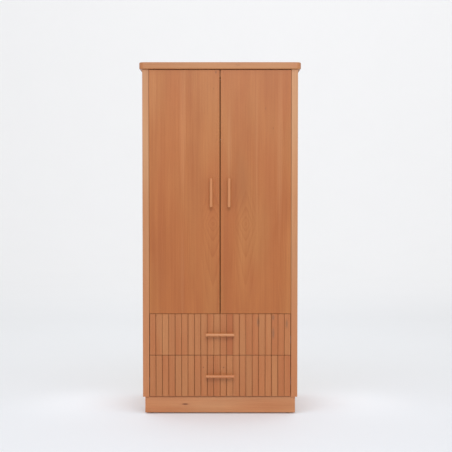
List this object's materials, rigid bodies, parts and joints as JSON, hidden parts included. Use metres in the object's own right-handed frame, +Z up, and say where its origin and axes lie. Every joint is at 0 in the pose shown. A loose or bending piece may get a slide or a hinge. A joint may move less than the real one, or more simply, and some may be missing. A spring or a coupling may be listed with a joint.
{
  "type": "armoire",
  "caption": "Tall beech armoire with plain hinged doors over slatted drawers, dowel bar handles, rounded top board and a recessed plinth.",
  "frame": {"origin": "on the floor, under the middle of the overall box, handles included", "axes": "+Z up, the front with the doors and handles faces -Y, +X to the right seen from the front"},
  "size_m": [0.903, 0.618, 1.974],
  "materials": {
    "carcass_wood": "satin oiled beech",
    "door_wood": "satin steamed beech veneer",
    "front_wood": "satin steamed beech",
    "handle_wood": "satin turned beech",
    "plywood": "matt birch plywood",
    "steel": "zinc plated",
    "black_steel": "black oxide, satin",
    "glide_rubber": "matt",
    "catch_plastic": "matt moulded",
    "bush_plastic": "matt moulded nylon"
  },
  "bodies": {
    "carcass": {"top_board": "carcass_wood", "left_side": "carcass_wood", "right_side": "carcass_wood", "bottom_panel": "carcass_wood", "deck_panel": "carcass_wood", "back_panel": "plywood", "hat_shelf": "carcass_wood", "shelf_pins": "steel", "hanging_rail": "steel", "rail_sockets": "steel", "stop_rail": "carcass_wood", "plinth_front": "carcass_wood", "plinth_back": "carcass_wood", "plinth_left": "carcass_wood", "plinth_right": "carcass_wood", "plinth_blocks": "carcass_wood", "floor_glides": "glide_rubber", "carcass_dowels": "carcass_wood", "back_screws": "steel", "pivot_brackets": "black_steel", "pivot_screws": "black_steel", "door_catches": "catch_plastic", "upper_outer_runners": "steel", "lower_outer_runners": "steel"},
    "door_left": {"left_door": "door_wood", "left_door_bar": "handle_wood", "left_door_posts": "handle_wood", "left_door_screws": "steel", "left_door_bushes": "bush_plastic", "left_door_strike": "steel"},
    "door_right": {"right_door": "door_wood", "right_door_bar": "handle_wood", "right_door_posts": "handle_wood", "right_door_screws": "steel", "right_door_bushes": "bush_plastic", "right_door_strike": "steel"},
    "drawer_upper": {"upper_front_board": "front_wood", "upper_slats": "front_wood", "upper_box_left": "plywood", "upper_box_right": "plywood", "upper_box_back": "plywood", "upper_box_bottom": "plywood", "upper_bar": "handle_wood", "upper_posts": "handle_wood", "upper_screws": "steel", "upper_inner_runners": "steel"},
    "drawer_lower": {"lower_front_board": "front_wood", "lower_slats": "front_wood", "lower_box_left": "plywood", "lower_box_right": "plywood", "lower_box_back": "plywood", "lower_box_bottom": "plywood", "lower_bar": "handle_wood", "lower_posts": "handle_wood", "lower_screws": "steel", "lower_inner_runners": "steel"},
    "slide_upper": {"upper_middle_runners": "steel"},
    "slide_lower": {"lower_middle_runners": "steel"}
  },
  "joints": [
    {"name": "left_door_swing", "type": "hinge", "parent": "carcass", "child": "door_left", "pos_m": [-0.3718, -0.2645, 0.5679], "axis": [0, 0, -1], "range_deg": [0, 110]},
    {"name": "right_door_swing", "type": "hinge", "parent": "carcass", "child": "door_right", "pos_m": [0.3718, -0.2645, 0.5679], "axis": [0, 0, 1], "range_deg": [0, 110]},
    {"name": "upper_drawer_slide", "type": "slide", "parent": "carcass", "child": "drawer_upper", "axis": [0, -1, 0], "range_m": [0, 0.42]},
    {"name": "lower_drawer_slide", "type": "slide", "parent": "carcass", "child": "drawer_lower", "axis": [0, -1, 0], "range_m": [0, 0.42]},
    {"name": "upper_runner_slide", "type": "slide", "parent": "carcass", "child": "slide_upper", "axis": [0, -1, 0], "range_m": [0, 0.21]},
    {"name": "lower_runner_slide", "type": "slide", "parent": "carcass", "child": "slide_lower", "axis": [0, -1, 0], "range_m": [0, 0.21]}
  ],
  "couplings": [
    {"joint": "upper_runner_slide", "follows": "upper_drawer_slide", "ratio": 0.5},
    {"joint": "lower_runner_slide", "follows": "lower_drawer_slide", "ratio": 0.5}
  ]
}
